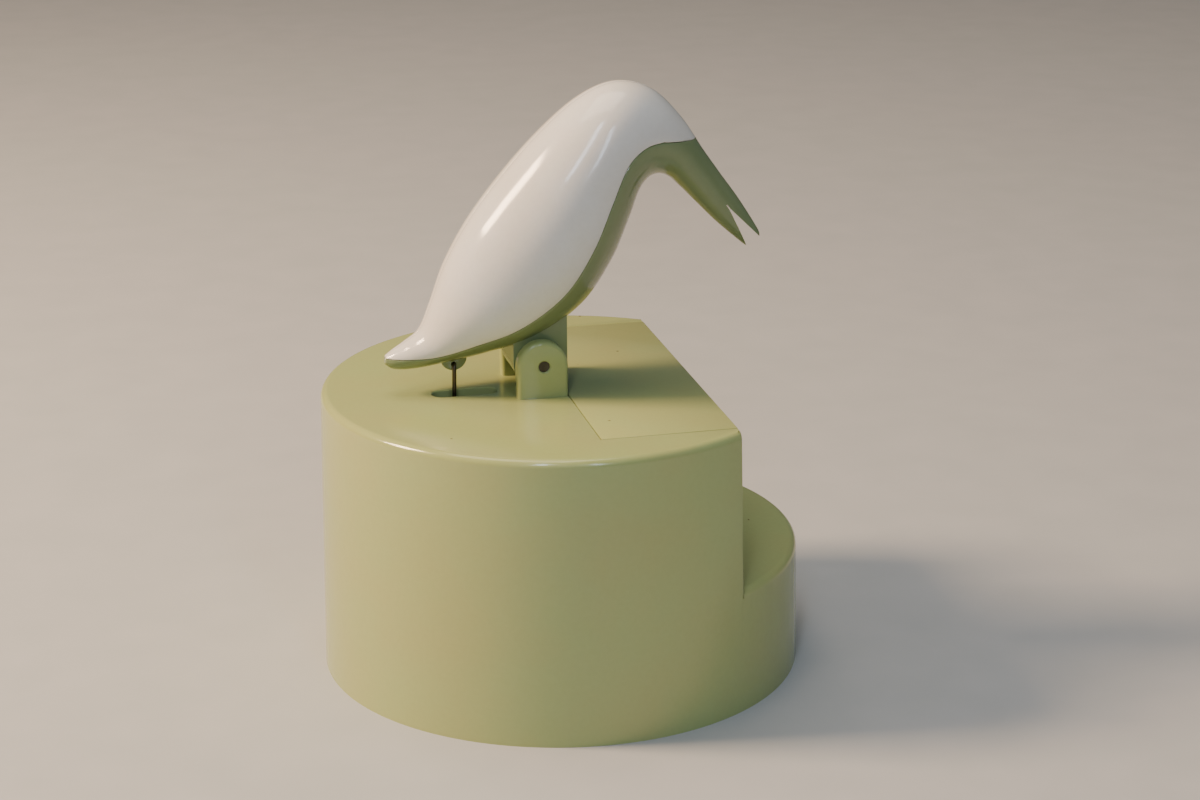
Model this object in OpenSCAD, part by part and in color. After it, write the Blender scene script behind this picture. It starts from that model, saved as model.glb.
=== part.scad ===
// Toothpick dispenser: a bird on a drum-shaped box. Pressing the bird's head down lifts a wire rod
// at its tail. The rod turns a bell crank, the crank pushes a slide out of the front of the box with
// one toothpick on it, and the bird's forked beak takes the toothpick.
//
// Millimetres. The origin is the middle of the base's underside, +Z is up, and the bird faces +X.

/* [Drum] */
// Diameter of the drum at the deck
drum_d = 100; // [98:0.5:102]
// How much the drum's diameter grows from the deck to the table
drum_draft = 1.9; // [1:0.1:2.5]
// Height of the deck above the table
deck_h = 60.5; // [60:0.1:61]
// Height of the front step above the table
step_h = 26.5; // [22:0.5:28]
// Distance from the drum's axis to the upright front face, at the deck
front_x = 28.2; // [28:0.1:28.4]
// Lean of the upright front face from vertical, in degrees
front_lean = 1; // [0:0.1:1.2]
// Wall thickness of the drum
wall = 2.2; // [1.8:0.1:2.4]
// Thickness of the deck
deck_t = 2.4; // [2.2:0.1:2.6]
// Radius of the drum's rounded rims
rim_r = 1.6; // [0.8:0.1:2]
// Radius of the rounded edge above the upright front face
front_edge_r = 0.7; // [0.4:0.1:1]

/* [Rod slot in the deck] */
// Rear end of the slot
slot_x0 = -27.4; // [-28:0.1:-27]
// Front end of the slot
slot_x1 = -13.7; // [-14:0.1:-13.4]
// Width of the slot
slot_w = 4.6; // [4.2:0.1:5]

/* [Ears and pivot] */
// Distance from the drum's axis back to the bird's pivot
pivot_x = -5.2; // [-5.3:0.1:-5.1]
// Height of the pivot above the deck
pivot_rise = 6.7; // [6.6:0.1:6.8]
// Width of an ear, along the bird
ear_w = 10.7; // [10.4:0.1:10.8]
// How far the middle of an ear lies behind the pivot
ear_back = 0.25; // [0:0.05:0.3]
// Distance between the outer faces of the ears
ears_out = 20.2; // [20:0.1:20.6]
// Thickness of an ear
ear_t = 3.5; // [3.2:0.1:3.6]
// Diameter of the pivot pin
pivot_d = 2.3; // [2.2:0.02:2.34]
// Diameter of the pivot holes
pivot_hole_d = 2.4; // [2.38:0.01:2.46]

/* [Lid] */
// Half the width of the lid across the drum
lid_half = 38.1; // [37.9:0.1:38.1]
// Gap between the lid and the deck
lid_gap = 0.2; // [0.15:0.01:0.25]

/* [Bird] */
// Wall thickness of the bird's shells
bird_wall = 1.8; // [1.6:0.1:2]
// Half the width of the foot between the ears
foot_half = 6.3; // [6.1:0.1:6.35]
// Length of the mouth
mouth_l = 10.7; // [9:0.1:11]
// Opening of the mouth at the tips
mouth_w = 3.3; // [3:0.1:3.6]

/* [Tail rod] */
// Diameter of the wire
rod_d = 0.9; // [0.8:0.02:0.92]
// Distance from the middle of the bird to the straight wire
rod_y = -2; // [-2.1:0.05:-1.95]

/* [Bell crank] */
// Length of the arm that the rod lifts
lift_arm = 16; // [15.9:0.05:16.1]
// Length of the arm that drives the slide
drive_arm = 15.6; // [15.4:0.05:15.8]
// Thickness of the crank's arms
crank_t = 2.4; // [2:0.1:2.6]

/* [Toothpicks] */
// Longest toothpick that fits
pick_l = 66; // [60:1:66]
// Thickest toothpick that fits the slide's groove
pick_d = 2.3; // [2:0.1:2.4]

/* [Return spring] */
// Diameter of the spring wire
spring_wire = 0.5; // [0.45:0.05:0.7]
// Diameter of a coil, wire centre to wire centre
spring_d = 5.3; // [5:0.1:5.6]
// Number of coils
spring_coils = 9; // [7:1:11]

/* [Hidden] */
$fn = 64;
eps = 0.01;
round_fn = 180;

deck_under = deck_h - deck_t;
drum_r = drum_d / 2;
foot_r = (drum_d + drum_draft) / 2;
front_in = front_x - wall;

// The bird's pivot, and the tail eye that the rod hooks into
pivot = [pivot_x, deck_h + pivot_rise];
tail_eye = [-22.6, 66.6];
tail_lug_r = 2.8;
tail_lug = [tail_eye[0], 68];
tail_lug_half = 1.4;
foot_r_lug = 5.7;
rod_hole_d = 1.1;
rod_end_y = 2.1;

// The crank's pivot, the angle of each arm at rest, and the two arm ends
crank = [-8, 24];
lift_angle = 194;
drive_angle = 123;
lift_end = crank + lift_arm * [cos(lift_angle), sin(lift_angle)];
drive_end = crank + drive_arm * [cos(drive_angle), sin(drive_angle)];
crank_hub_r = 4;
crank_hub_half = 2.6;
crank_pin_r = 1.5;
crank_bore_r = 1.55;
drive_pin_r = 1.25;
drive_pin_y = 5.4;
rod_play = 0.55;

// The feed slide: its plate, the groove that carries one toothpick, and the notch for the beak
slide_half = 33.4;
slide_z0 = 34.2;
slide_z1 = 38.2;
slide_x0 = -3;
groove_x = 19.6;
slide_x1 = groove_x + pick_d / 2 + 1.6;
notch_half = 5.5;
notch_x = 13;
tongue_y0 = 2;
tongue_y1 = 14;
tongue_z1 = 36.8;
drive_lug_x0 = -20.5;
drive_lug_x1 = -12.5;
drive_lug_t = 3;
drive_lug_z1 = 43.2;
drive_slot_w = 3.1;

// The return spring's axis, its two ends, and the pegs that hold it
spring_z = 29;
spring_x0 = 0.05;
spring_x1 = front_in - 0.5;
peg_r = 1.8;
slide_peg_l = 3;
wall_peg_l = 4;

// The hopper above the slide
hopper_x0 = 0.6;
hopper_x1 = 25.6;
hopper_z0 = 38.6;
hopper_z1 = 55.8;
hopper_wall = 2;
hopper_in = 33.5;
hopper_end_t = 2.2;
flange_half = 38.8;
throat = [18.1, 21.1];
hopper_lugs = [[7, 41.5], [18, 40]];
hopper_lug_z = [47.5, 50];
hopper_lug_r = 3;

// The rails under the hopper
rail_x0 = -4;
rail_z0 = 31.8;
rail_in = 33.7;
rail_screw_y = 36.4;
rail_screw_x = [4, 20];

// The bottom plate, its screws, the crank's bracket and the bumper post
plate_r = 48.3;
plate_z0 = 1;
plate_z1 = 3.4;
plate_screw_r = 45;
plate_screw_turn = 45;
boss_r = 4;
boss_top = 18;
bracket_in = 3.2;
bracket_t = 1.6;
bracket_top = 28.5;
bracket_half_x = 4;
bracket_foot_half = 11;
bracket_screw_y = 8.2;
post_x = -19;
post_top = 15.2;
bumper_top = 18.2;

// Screws: thread radius, and the pilot hole's radius in the plastic
screw_r = 1.15;
pilot_r = 1.2;
small_screw_r = 0.95;
small_pilot_r = 1;

// Colours
sage = "#bdbb8c";
sage_dark = "#8f9a68";
white_shell = "#e9e4dc";
ivory = "#d8d2bd";
steel = "#8d8f92";
dark_steel = "#4a4844";
rubber_black = "#2b2b2b";

// The bird's stations from the tail to the beak. Each has the middle's x and z, the angle of the
// upward direction in the section, half the height, half the width, and how far down from the top
// the white shells reach, as an angle.
stations = [
    [-36.8,  68.3,  79,  0.9,  1.2,  66],
    [-35.1,  68.2,  91,  2.0,  2.4,  77],
    [-31.6,  68.9, 112,  3.0,  3.9,  92],
    [-26.6,  70.7, 129,  4.5,  5.8, 109],
    [-21.2,  74.4, 135,  8.0,  8.6, 115],
    [-14.6,  79.7, 139, 12.3, 11.7, 120],
    [ -7.0,  87.5, 141, 14.9, 13.9, 121],
    [ -0.1,  96.6, 138, 14.7, 14.2, 118],
    [  5.9, 105.1, 131, 13.2, 13.0, 112],
    [ 11.1, 111.4, 120, 11.6, 11.4, 106],
    [ 15.9, 114.0, 107, 10.6,  9.8, 103],
    [ 20.7, 113.4,  95,  9.0,  8.0,  96],
    [ 24.9, 110.0,  80,  6.6,  6.2,  72],
    [ 28.4, 105.5,  63,  4.8,  4.7,   6],
    [ 31.9, 101.1,  50,  4.0,  3.6,   0],
    [ 36.6,  95.5,  49,  3.4,  2.9,   0],
    [ 41.8,  89.4,  51,  2.2,  1.8,   0],
    [ 42.7,  88.3,  52,  1.4,  1.1,   0]
];
crown_end = 12.7;     // station at which the white shells end, above the beak
crown_end_angle = 18; // half the angle that their blunt end takes
steps = 2;            // rings for each station
belly_n = 18;         // sides of the belly round one ring
crown_n = 8;          // sides of one white shell
least_bore = 0.3;     // the hollow's least share of a section
joint_gap = 0.1;      // gap between the white shells and the belly
mouth_apex = [35.6, 97.3];
mouth_turn = -53.6;

// ---- Small helpers ----

// A box from its low corner to its high corner
module box(lo, hi) {
    translate(lo) cube(hi - lo);
}

// A round bar along Y, centred on [x, z]
module bar_y(at, r, y0, y1) {
    translate([at[0], y1, at[1]]) rotate([90, 0, 0]) cylinder(r = r, h = y1 - y0);
}

// A flat outline drawn in X and Z, extruded along Y
module slab_y(y0, y1) {
    translate([0, y1, 0]) rotate([90, 0, 0]) linear_extrude(y1 - y0) children();
}

// ---- The drum ----

function drum_at(z) = foot_r + (drum_r - foot_r) * z / deck_h;

// Half of the drum's outline up to height h, set in by t, with a rounded rim of radius r
module drum_outline(h, t, r) {
    edge = drum_at(h - r) - t;
    polygon([[0, 0], [foot_r - t, 0], [edge, h - r], [edge - r, h - r], [edge - r, h], [0, h]]);
    if (r > 0)
        translate([edge - r, h - r]) intersection() {
            circle(r = r);
            square(r);
        }
}

module drum(h, t, r) {
    rotate_extrude($fn = round_fn) drum_outline(h, t, r);
}

// Everything above z0 that lies in front of the leaning front face, set back by t
module front_cut(t, z0) {
    intersection() {
        translate([front_x - t, 0, deck_h]) rotate([0, -front_lean, 0])
            box([0, -drum_d, -deck_h - 20], [drum_d, drum_d, 20]);
        box([-drum_d, -2 * drum_d, z0], [2 * drum_d, 2 * drum_d, deck_h + 10]);
    }
}

// What a rounding of radius r takes off the top edge of the front face
module front_edge_round(r) {
    difference() {
        box([front_x - r, -drum_d, deck_h - r], [front_x + 1, drum_d, deck_h + 1]);
        bar_y([front_x - r, deck_h - r], r, -drum_d, drum_d);
    }
}

module drum_form() {
    difference() {
        drum(deck_h, 0, rim_r);
        difference() {
            front_cut(0, step_h - rim_r);
            drum(step_h, 0, rim_r);
        }
        front_edge_round(front_edge_r);
    }
}

module drum_hollow() {
    difference() {
        drum(deck_under, wall, 0);
        front_cut(wall, step_h - wall);
    }
}

module ear(side) {
    y0 = side > 0 ? ears_out / 2 - ear_t : -ears_out / 2;
    slab_y(y0, y0 + ear_t) {
        translate([pivot[0] - ear_back, pivot[1]]) circle(d = ear_w);
        translate([pivot[0] - ear_back - ear_w / 2, deck_under]) square([ear_w, pivot[1] - deck_under]);
    }
}

module rod_slot() {
    for (x = [slot_x0 + slot_w / 2, slot_x1 - slot_w / 2])
        translate([x, rod_y, deck_under - 1]) cylinder(d = slot_w, h = deck_t + 2);
    box([slot_x0 + slot_w / 2, rod_y - slot_w / 2, deck_under - 1],
        [slot_x1 - slot_w / 2, rod_y + slot_w / 2, deck_h + 1]);
}

// The four places round the drum where the bottom plate is screwed on
module at_plate_screws() {
    for (k = [0:3])
        rotate([0, 0, plate_screw_turn + 90 * k]) translate([plate_screw_r, 0, 0]) children();
}

// The four places where the hopper is screwed up under the deck
module at_hopper_screws() {
    for (p = hopper_lugs, s = [-1, 1])
        translate([p[0], s * p[1], 0]) children();
}

// The opening that the lid covers, with the grooves that its tongues run in
module lid_opening() {
    half = lid_half + lid_gap;
    box([0, -half, deck_under - eps], [drum_r, half, deck_h + 1]);
    box([0, -half - 0.9, deck_under + 0.7], [drum_r, half + 0.9, deck_under + 1.8]);
}

module base_shell() {
    color(sage) difference() {
        union() {
            difference() {
                drum_form();
                drum_hollow();
            }
            for (s = [-1, 1]) {
                ear(s);
                // Ledge that carries the lid's side
                box([0, s > 0 ? 36.6 : -40.3, deck_under - 2.1], [front_in + 0.3, s > 0 ? 40.3 : -36.6, deck_under]);
            }
            at_plate_screws() translate([0, 0, plate_z1 + 0.1]) cylinder(r = boss_r, h = boss_top - plate_z1);
            at_hopper_screws() translate([0, 0, hopper_lug_z[1] + 0.1])
                cylinder(r = hopper_lug_r, h = deck_under - hopper_lug_z[1]);
            // Pad and peg that hold the front end of the return spring
            box([spring_x1, -3.8, spring_z - 3.8], [front_in + 1, 3.8, spring_z + 3.8]);
            translate([spring_x1 - wall_peg_l, 0, spring_z]) rotate([0, 90, 0]) cylinder(r = peg_r, h = wall_peg_l + eps);
        }
        lid_opening();
        rod_slot();
        bar_y(pivot, pivot_hole_d / 2, -ears_out, ears_out);
        at_plate_screws() cylinder(r = pilot_r, h = boss_top - 3);
        at_hopper_screws() translate([0, 0, hopper_lug_z[1]]) cylinder(r = small_pilot_r, h = 7);
        // Slit that the slide comes out of
        box([front_in - 2, -34.2, slide_z0 - 0.4], [front_x + 3, 34.2, slide_z1 + 0.4]);
    }
}

module hopper_lid() {
    color(sage) difference() {
        union() {
            box([0.15, -lid_half, deck_under + 0.1], [drum_r, lid_half, deck_h]);
            // Tongues that run in the grooves of the deck
            box([0.15, -lid_half - 0.7, deck_under + 0.9], [drum_r, lid_half + 0.7, deck_under + 1.6]);
        }
        front_cut(0, 0);
        front_edge_round(front_edge_r);
    }
}

// ---- Under the drum ----

module bottom_plate() {
    color(sage_dark) difference() {
        union() {
            translate([0, 0, plate_z0]) cylinder(r = plate_r, h = plate_z1 - plate_z0, $fn = round_fn);
            // Post under the crank's long arm
            translate([post_x, 0, plate_z1 - eps]) cylinder(r = 3.2, h = post_top - plate_z1 + eps);
        }
        at_plate_screws() {
            cylinder(r = screw_r + 0.3, h = 10);
            translate([0, 0, plate_z0 - eps]) cylinder(r1 = 2.85, r2 = screw_r + 0.3, h = 1.5);
        }
        for (s = [-1, 1])
            translate([crank[0], s * bracket_screw_y, plate_z0 + 0.4]) cylinder(r = small_pilot_r, h = 5);
    }
}

module plate_screws() {
    color(steel) at_plate_screws() difference() {
        union() {
            translate([0, 0, plate_z0]) cylinder(r1 = 2.75, r2 = screw_r, h = 1.6);
            translate([0, 0, plate_z0 + 1.6 - eps]) cylinder(r = screw_r, h = 9);
        }
        cross_slot(plate_z0, 1);
    }
}

// Cross recess in a screw head. side is 1 where the head looks down and -1 where it looks up.
module cross_slot(z, side) {
    for (turn = [0, 90])
        rotate([0, 0, turn]) translate([0, 0, z]) cube([2.6, 0.5, 1.4], center = true);
}

// ---- The hopper and the slide's rails ----

module hopper() {
    color(ivory) difference() {
        union() {
            // Front wall, rear wall and sloping floor, between the two ends
            slab_y(-hopper_in - eps, hopper_in + eps) difference() {
                polygon([[hopper_x0, hopper_z1], [hopper_x0, 50], [throat[0] - 2.2, 39.6],
                         [throat[0] - 2.2, hopper_z0], [hopper_x1, hopper_z0], [hopper_x1, hopper_z1]]);
                polygon([[hopper_x0 + hopper_wall, 60], [hopper_x0 + hopper_wall, 51], [throat[0], 40.6],
                         [throat[0], 30], [throat[1], 30], [throat[1], 40.6],
                         [hopper_x1 - hopper_wall, 45.5], [hopper_x1 - hopper_wall, 60]]);
            }
            for (s = [-1, 1]) {
                y = s * hopper_in;
                out = s * (hopper_in + hopper_end_t);
                box([hopper_x0, min(y, out), hopper_z0], [hopper_x1, max(y, out), hopper_z1]);
                // Flange that the rail is screwed to
                box([hopper_x0, min(y, s * flange_half), hopper_z0], [hopper_x1, max(y, s * flange_half), hopper_z0 + 2.4]);
                for (x = rail_screw_x)
                    translate([x, s * rail_screw_y, hopper_z0]) cylinder(r = 2.2, h = 6);
                // Lugs that go up under the deck
                for (p = hopper_lugs) {
                    translate([p[0], s * p[1], hopper_lug_z[0]]) cylinder(r = hopper_lug_r, h = 2.5);
                    box([p[0] - hopper_lug_r, min(y, s * p[1]), hopper_lug_z[0]],
                        [p[0] + hopper_lug_r, max(y, s * p[1]), hopper_lug_z[1]]);
                }
            }
        }
        box([hopper_x0 + hopper_wall, -hopper_in, 46], [hopper_x1 - hopper_wall, hopper_in, 60]);
        at_hopper_screws() translate([0, 0, hopper_lug_z[0] - 1]) cylinder(r = small_screw_r + 0.25, h = 5);
        for (x = rail_screw_x, s = [-1, 1])
            translate([x, s * rail_screw_y, hopper_z0 - 1]) cylinder(r = small_pilot_r, h = 6);
    }
}

module hopper_screws() {
    color(steel) at_hopper_screws() small_screw(hopper_lug_z[0] - 0.05, 7.5);
}

// A small round-head screw that goes up from z, with its head below
module small_screw(z, l) {
    difference() {
        union() {
            translate([0, 0, z - 1.4]) cylinder(r1 = 1.5, r2 = 1.9, h = 1.4);
            translate([0, 0, z - eps]) cylinder(r = small_screw_r, h = l);
        }
        cross_slot(z - 1.4, 1);
    }
}

module slide_rail(s) {
    color(ivory) difference() {
        union() {
            box([rail_x0, s > 0 ? rail_in : -flange_half, rail_z0], [hopper_x1, s > 0 ? flange_half : -rail_in, hopper_z0 - 0.05]);
            // Foot under the slide's edge
            box([rail_x0, s > 0 ? rail_in - 3 : -rail_in, rail_z0], [hopper_x1, s > 0 ? rail_in : -rail_in + 3, slide_z0 - 0.2]);
        }
        for (x = rail_screw_x)
            translate([x, s * rail_screw_y, 0]) {
                cylinder(r = small_screw_r + 0.25, h = 50);
                cylinder(r = 2.1, h = rail_z0 + 1.6);
            }
    }
}

module slide_rail_left() {
    slide_rail(1);
}

module slide_rail_right() {
    slide_rail(-1);
}

module rail_screws() {
    color(steel) for (x = rail_screw_x, s = [-1, 1])
        translate([x, s * rail_screw_y, 0]) small_screw(rail_z0 + 1.55, 9.5);
}

// ---- The crank and its bracket ----

module crank_bracket() {
    color(steel) difference() {
        union() {
            for (s = [-1, 1]) {
                lo = s > 0 ? bracket_in : -bracket_in - bracket_t;
                slab_y(lo, lo + bracket_t) {
                    translate(crank) circle(r = bracket_half_x);
                    translate([crank[0] - bracket_half_x, plate_z1 + 0.05])
                        square([2 * bracket_half_x, crank[1] - plate_z1]);
                }
            }
            box([crank[0] - bracket_half_x, -bracket_foot_half, plate_z1 + 0.05],
                [crank[0] + bracket_half_x, bracket_foot_half, plate_z1 + 0.05 + bracket_t]);
        }
        bar_y(crank, crank_bore_r, -20, 20);
        for (s = [-1, 1])
            translate([crank[0], s * bracket_screw_y, 0]) cylinder(r = small_screw_r + 0.25, h = 10);
    }
}

module bracket_screws() {
    color(steel) for (s = [-1, 1])
        translate([crank[0], s * bracket_screw_y, plate_z1 + 0.1 + bracket_t]) difference() {
            union() {
                cylinder(r1 = 1.9, r2 = 1.5, h = 1.3);
                translate([0, 0, -3.4]) cylinder(r = small_screw_r, h = 3.5);
            }
            cross_slot(1.3, -1);
        }
}

module crank_pin() {
    color(steel) bar_y(crank, crank_pin_r, -6.6, 6.6);
}

module crank_pin_clips() {
    color(dark_steel) for (s = [-1, 1])
        difference() {
            bar_y(crank, 3.1, s > 0 ? 5 : -5.6, s > 0 ? 5.6 : -5);
            bar_y(crank, crank_pin_r + 0.03, -10, 10);
        }
}

module rest_bumper() {
    color(rubber_black) translate([post_x, 0, post_top + 0.02]) {
        cylinder(r = 2.6, h = bumper_top - post_top - 1);
        translate([0, 0, bumper_top - post_top - 1]) cylinder(r1 = 2.6, r2 = 1.6, h = 1);
    }
}

// One arm of the crank, from its pivot to an end with an eye of radius r
module crank_arm(angle, l, r) {
    slab_y(-crank_t / 2, crank_t / 2) translate(crank) rotate(angle) {
        translate([0, -2.4]) square([l, 4.8]);
        translate([l, 0]) circle(r = r);
    }
}

module bell_crank() {
    color(ivory) difference() {
        union() {
            bar_y(crank, crank_hub_r, -crank_hub_half, crank_hub_half);
            crank_arm(lift_angle, lift_arm, 3);
            crank_arm(drive_angle, drive_arm, 2.8);
        }
        bar_y(crank, crank_bore_r, -10, 10);
        bar_y(lift_end, rod_d / 2 + rod_play, -10, 10);
        bar_y(drive_end, drive_pin_r + 0.02, -10, 10);
    }
}

module drive_pin() {
    color(steel) {
        bar_y(drive_end, drive_pin_r, -crank_t / 2 - 0.3, drive_pin_y);
        bar_y(drive_end, 2, -crank_t / 2 - 0.9, -crank_t / 2 - 0.05);
    }
}

module pivot_pin() {
    color(dark_steel) bar_y(pivot, pivot_d / 2, 0.4 - ears_out / 2, ears_out / 2 - 0.4);
}

// ---- The feed slide ----

module feed_slide() {
    color(sage) difference() {
        union() {
            box([slide_x0, -slide_half, slide_z0], [slide_x1, slide_half, slide_z1]);
            // Tongue and lug that the drive pin works in
            box([drive_lug_x0, tongue_y0, slide_z0], [slide_x0 + eps, tongue_y1, tongue_z1]);
            box([drive_lug_x0, tongue_y0, slide_z0], [drive_lug_x1, tongue_y0 + drive_lug_t, drive_lug_z1]);
            // Lug and peg that the return spring pushes on
            box([slide_x0, -5, 25], [0, 5, slide_z0 + eps]);
            translate([-eps, 0, spring_z]) rotate([0, 90, 0]) cylinder(r = peg_r, h = slide_peg_l);
        }
        // Groove that holds one toothpick across the slide
        bar_y([groove_x, slide_z1 - pick_d / 2], pick_d / 2 + 0.1, -50, 50);
        box([groove_x - pick_d / 2 - 0.1, -50, slide_z1 - pick_d / 2], [groove_x + pick_d / 2 + 0.1, 50, slide_z1 + 1]);
        // Notch that lets the beak down to the toothpick
        box([notch_x, -notch_half, slide_z0 - 1], [50, notch_half, slide_z1 + 1]);
        // Upright slot for the drive pin
        bar_y([drive_end[0], 36.6], drive_slot_w / 2, 0, 10);
        bar_y([drive_end[0], 40.2], drive_slot_w / 2, 0, 10);
        box([drive_end[0] - drive_slot_w / 2, 0, 36.6], [drive_end[0] + drive_slot_w / 2, 10, 40.2]);
    }
}

// ---- The tail rod ----

module tail_rod() {
    r = rod_d / 2;
    reach = lift_end - tail_eye;
    l = norm(reach);
    color(dark_steel) {
        for (end = [tail_eye, lift_end]) {
            translate([end[0], rod_y, end[1]]) sphere(r = r, $fn = 32);
            bar_y(end, r, rod_y, rod_end_y);
        }
        translate([tail_eye[0], rod_y, tail_eye[1]]) rotate([0, atan2(reach[0], reach[1]), 0]) cylinder(r = r, h = l);
    }
}

// ---- The return spring ----

// Middle of the wire at turn u of the coil, counted from 0 to spring_coils
function coil_at(u) = let (x0 = spring_x0 + spring_wire * 1.5, x1 = spring_x1 - spring_wire * 1.5)
    [x0 + (x1 - x0) * u / spring_coils, spring_d / 2 * cos(360 * u), spring_z + spring_d / 2 * sin(360 * u)];

function coil_path() = let (n = 8 * spring_coils, a = coil_at(0), b = coil_at(spring_coils))
    concat([[spring_x0, a[1], a[2]], [spring_x0 + spring_wire, a[1], a[2]]],
           [for (k = [1:n - 1]) coil_at(k / 8)],
           [[spring_x1 - spring_wire, b[1], b[2]], [spring_x1, b[1], b[2]]]);

function unit(v) = v / norm(v);

// A closed tube of n sides along a path
module tube(path, r, n) {
    last = len(path) - 1;
    points = [for (i = [0:last]) let (
            along = unit(path[min(i + 1, last)] - path[max(i - 1, 0)]),
            across = unit(cross(along, abs(along[0]) > 0.9 ? [0, 1, 0] : [1, 0, 0])),
            up = cross(along, across))
        for (k = [0:n - 1]) path[i] + r * (cos(360 * k / n) * across + sin(360 * k / n) * up)];
    faces = concat(
        [[for (k = [0:n - 1]) k]],
        [for (i = [0:last - 1], k = [0:n - 1], t = [0, 1]) let (
                a = i * n + k, b = i * n + (k + 1) % n, c = a + n, d = b + n)
            t == 0 ? [a, c, b] : [b, c, d]],
        [[for (k = [n - 1:-1:0]) last * n + k]]);
    polyhedron(points, faces);
}

module return_spring() {
    color(steel) tube(coil_path(), spring_wire / 2, 6);
}

// ---- The bird ----

function blend(a, b, c, d, t) =
    0.5 * (2 * b + (c - a) * t + (2 * a - 5 * b + 4 * c - d) * t * t + (3 * b - a - 3 * c + d) * t * t * t);

// The section at s, counted in stations and interpolated between them
function section(s) = let (last = len(stations) - 1, i = min(floor(s), last - 1), t = s - i)
    blend(stations[max(i - 1, 0)], stations[i], stations[i + 1], stations[min(i + 2, last)], t);

function joint_angle(s) = s >= crown_end - 0.02 ? crown_end_angle : max(section(s)[5], crown_end_angle);

// A point of section v, at an angle from the top, with the surface set in by t
function skin(v, angle, t) = let (
        a = max(v[3] - t, v[3] * least_bore),
        b = max(v[4] - t, v[4] * least_bore),
        h = a * cos(angle))
    [v[0] + h * cos(v[2]), b * sin(angle), v[1] + h * sin(v[2])];

last_station = len(stations) - 1;
hollow_rings = [for (s = [0:1 / steps:crown_end]) s, crown_end];
crown_rings = [for (s = [0:1 / steps:crown_end]) s, crown_end - 0.02];
beak_rings = [for (s = [ceil(crown_end * steps) / steps:1 / steps:last_station]) s];

// One white shell. side is 1 for the left and -1 for the right.
module crown(side) {
    n = crown_n;
    m = 2 * (n + 1);
    rings = len(crown_rings);
    points = [for (s = crown_rings) let (v = section(s), j = joint_angle(s) - joint_gap / v[3] * 180 / PI)
        each concat([for (k = [0:n]) skin(v, j * k / n, 0)], [for (k = [n:-1:0]) skin(v, j * k / n, bird_wall)])];
    faces = concat(
        [[for (k = [m - 1:-1:0]) k]],
        [for (i = [0:rings - 2], k = [0:m - 1], t = [0, 1]) let (
                a = i * m + k, b = i * m + (k + 1) % m, c = a + m, d = b + m)
            t == 0 ? [a, b, c] : [b, d, c]],
        [[for (k = [0:m - 1]) (rings - 1) * m + k]]);
    if (side > 0) polyhedron(points, faces);
    else mirror([0, 1, 0]) polyhedron(points, faces);
}

// The belly, beak and underside of the tail: an open trough under the white shells, then solid
module belly_form() {
    n = belly_n;
    m = 2 * (n + 1);
    top = [350, 360, 370];
    q = n + 1 + len(top);
    h = len(hollow_rings);
    b = len(beak_rings);
    trough = [for (s = hollow_rings) let (v = section(s), j = joint_angle(s), w = 360 - 2 * j)
        each concat([for (k = [0:n]) skin(v, j + w * k / n, 0)], [for (k = [n:-1:0]) skin(v, j + w * k / n, bird_wall)])];
    ridge = [for (a = top) skin(section(crown_end), a, 0)];
    beak = [for (s = beak_rings) let (v = section(s), j = crown_end_angle, w = 360 - 2 * j)
        each concat([for (k = [0:n]) skin(v, j + w * k / n, 0)], [for (a = top) skin(v, a, 0)])];
    r0 = h * m;            // first point of the ridge
    b0 = r0 + len(top);    // first point of the beak
    e = (h - 1) * m;       // first point of the trough's last ring
    first = concat([for (k = [0:n]) e + k], [for (k = [0:len(top) - 1]) r0 + k]);
    faces = concat(
        [[for (k = [m - 1:-1:0]) k]],
        [for (i = [0:h - 2], k = [0:m - 1], t = [0, 1]) let (
                a = i * m + k, c = i * m + (k + 1) % m, d = a + m, f = c + m)
            t == 0 ? [a, c, d] : [c, f, d]],
        [concat([first[0]], [for (k = [n + len(top):-1:n]) first[k]], [for (k = [n:-1:0]) e + m - 1 - k])],
        [for (k = [0:q - 1], t = [0, 1]) let (
                a = first[k], c = first[(k + 1) % q], d = b0 + k, f = b0 + (k + 1) % q)
            t == 0 ? [a, c, d] : [c, f, d]],
        [for (i = [0:b - 2], k = [0:q - 1], t = [0, 1]) let (
                a = b0 + i * q + k, c = b0 + i * q + (k + 1) % q, d = a + q, f = c + q)
            t == 0 ? [a, c, d] : [c, f, d]],
        [[for (k = [0:q - 1]) b0 + (b - 1) * q + k]]);
    polyhedron(concat(trough, ridge, beak), faces);
}

module bird_crown_left() {
    color(white_shell) crown(1);
}

module bird_crown_right() {
    color(white_shell) crown(-1);
}

module bird_belly() {
    color(sage) difference() {
        union() {
            belly_form();
            // Foot between the ears
            slab_y(-foot_half, foot_half) {
                translate(pivot) circle(r = foot_r_lug);
                polygon([[pivot[0] + foot_r_lug, pivot[1]], [pivot[0] + foot_r_lug, 77.2],
                         [pivot[0] - foot_r_lug, 72.4], [pivot[0] - foot_r_lug, pivot[1]]]);
            }
            // Tail lug for the rod's hook
            bar_y(tail_lug, tail_lug_r, -tail_lug_half, tail_lug_half);
        }
        bar_y(pivot, pivot_hole_d / 2, -10, 10);
        bar_y(tail_eye, rod_hole_d / 2, -5, 5);
        // Mouth
        slab_y(-10, 10) translate(mouth_apex) rotate(mouth_turn)
            polygon([[0, -0.13], [0, 0.13], [1.4, 0.16], [mouth_l, mouth_w / 2], [mouth_l + 4, mouth_w / 2 + 0.7],
                     [mouth_l + 4, -mouth_w / 2 - 0.7], [mouth_l, -mouth_w / 2], [1.4, -0.16]]);
    }
}

base_shell();
hopper_lid();
bottom_plate();
plate_screws();
hopper();
hopper_screws();
slide_rail_left();
slide_rail_right();
rail_screws();
crank_bracket();
bracket_screws();
crank_pin();
crank_pin_clips();
rest_bumper();
return_spring();
pivot_pin();
bird_crown_left();
bird_crown_right();
bird_belly();
tail_rod();
bell_crank();
drive_pin();
feed_slide();
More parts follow.
